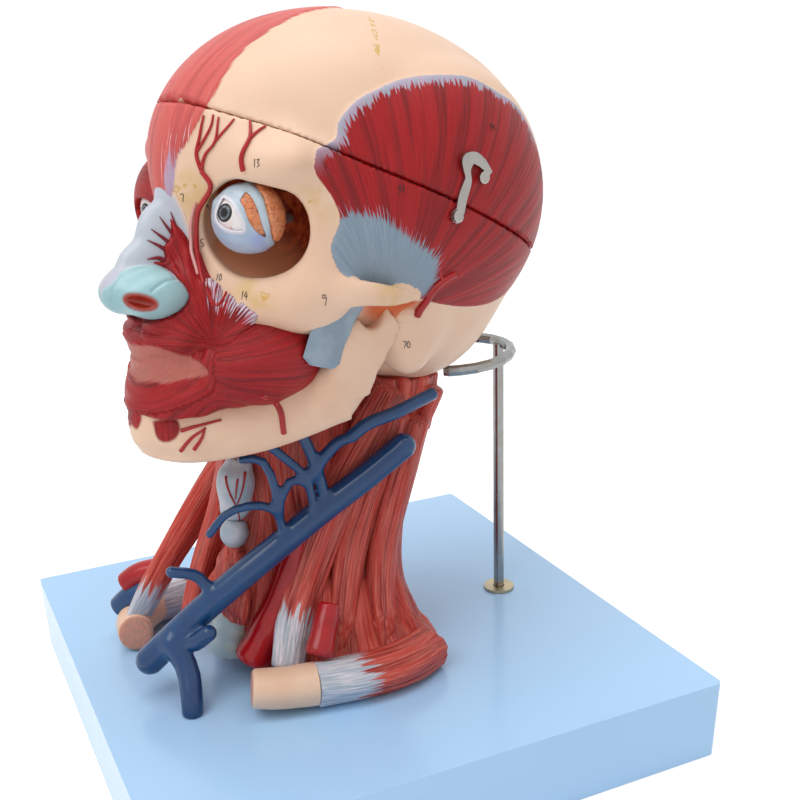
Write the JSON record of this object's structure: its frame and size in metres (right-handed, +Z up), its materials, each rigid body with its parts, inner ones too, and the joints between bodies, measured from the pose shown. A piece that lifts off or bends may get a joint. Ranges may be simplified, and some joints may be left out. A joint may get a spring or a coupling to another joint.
{
  "type": "anatomical head model",
  "caption": "Anatomical half-dissected head and neck with a lift-off skull cap over a brain, side hooks, a removable eye and a ring-and-rod neck support on a square tray base.",
  "frame": {"origin": "middle of the stand's underside", "axes": "+Z up; -Y towards the front of the base; the figure faces -Y turned 14 degrees towards its own left, and its own left is towards +X"},
  "size_m": [0.28, 0.277, 0.3547],
  "materials": {
    "base_plastic": "pale sky-blue moulded plastic, softly glossy",
    "bone": "hand-painted bone, satin",
    "muscle": "hand-painted muscle with fine fibre lines, satin",
    "tendon": "hand-painted tendon, satin",
    "cartilage": "hand-painted cartilage, satin",
    "vein": "dark blue lacquered vein",
    "artery": "red lacquered artery",
    "eye": "white lacquered eyeball",
    "gland": "orange lacquered gland",
    "brain": "pinkish painted brain, satin",
    "steel": "bright plated steel",
    "flange_metal": "dull brassy plate"
  },
  "bodies": {
    "figure": {"base_box": "base_plastic", "support_post": "steel", "post_flange": "flange_metal", "post_washer": "steel", "post_nut": "steel", "support_ring": "steel", "left_neck_screw": "steel", "right_neck_screw": "steel", "neck_core": "muscle", "left_sternomastoid": "muscle", "right_sternomastoid": "muscle", "left_scalene_front": "muscle", "right_scalene_front": "muscle", "left_scalene_back": "muscle", "right_scalene_back": "muscle", "left_trapezius": "muscle", "right_trapezius": "muscle", "left_shoulder_muscle": "muscle", "right_shoulder_muscle": "muscle", "left_strap_muscle": "muscle", "right_strap_muscle": "muscle", "left_clavicle": "bone", "right_clavicle": "bone", "thyroid_cartilage": "cartilage", "cricoid_cartilage": "cartilage", "trachea": "cartilage", "left_jugular_vein": "vein", "left_external_jugular": "vein", "right_jugular_stub": "vein", "left_carotid_artery": "artery", "left_subclavian_artery": "artery", "right_subclavian_artery": "artery", "skull": "bone", "mandible": "bone", "facial_muscles": "muscle", "nose_cartilage": "cartilage", "left_temporal_tendon": "tendon", "right_temporal_tendon": "tendon", "left_brow_artery": "artery", "left_orbit_artery": "artery", "left_facial_artery": "artery", "left_temple_artery": "artery", "left_eye_peg": "tendon", "right_eyeball": "eye", "right_eye_muscle": "muscle", "left_hook_screw": "steel", "right_hook_screw": "steel"},
    "cap": {"skull_cap": "bone", "left_catch_screw": "steel", "right_catch_screw": "steel"},
    "brain": {"left_hemisphere": "brain", "right_hemisphere": "brain", "cerebellum": "brain", "brain_stem": "brain"},
    "hook_left": {"left_hook": "steel"},
    "hook_right": {"right_hook": "steel"},
    "eye": {"left_eyeball": "eye", "left_lid_shell": "tendon", "left_lacrimal_gland": "gland"}
  },
  "joints": [
    {"name": "cap_lift", "type": "slide", "parent": "figure", "child": "cap", "axis": [-0.1061, 0.4254, 0.8988], "range_m": [0, 0.15]},
    {"name": "brain_lift", "type": "slide", "parent": "figure", "child": "brain", "axis": [-0.1061, 0.4254, 0.8988], "range_m": [0, 0.075]},
    {"name": "left_hook_turn", "type": "hinge", "parent": "figure", "child": "hook_left", "pos_m": [0.0837, 0.02621, 0.26785], "axis": [0.9827, 0.1797, 0.0457], "range_deg": [0, 110]},
    {"name": "right_hook_turn", "type": "hinge", "parent": "figure", "child": "hook_right", "pos_m": [-0.06316, -0.0104, 0.26785], "axis": [0.952, 0.3027, -0.0457], "range_deg": [0, 110]},
    {"name": "eye_pull", "type": "slide", "parent": "figure", "child": "eye", "axis": [0.6343, -0.7607, 0.138], "range_m": [0, 0.03]}
  ],
  "couplings": [
    {"joint": "brain_lift", "follows": "cap_lift", "ratio": 0.5}
  ]
}
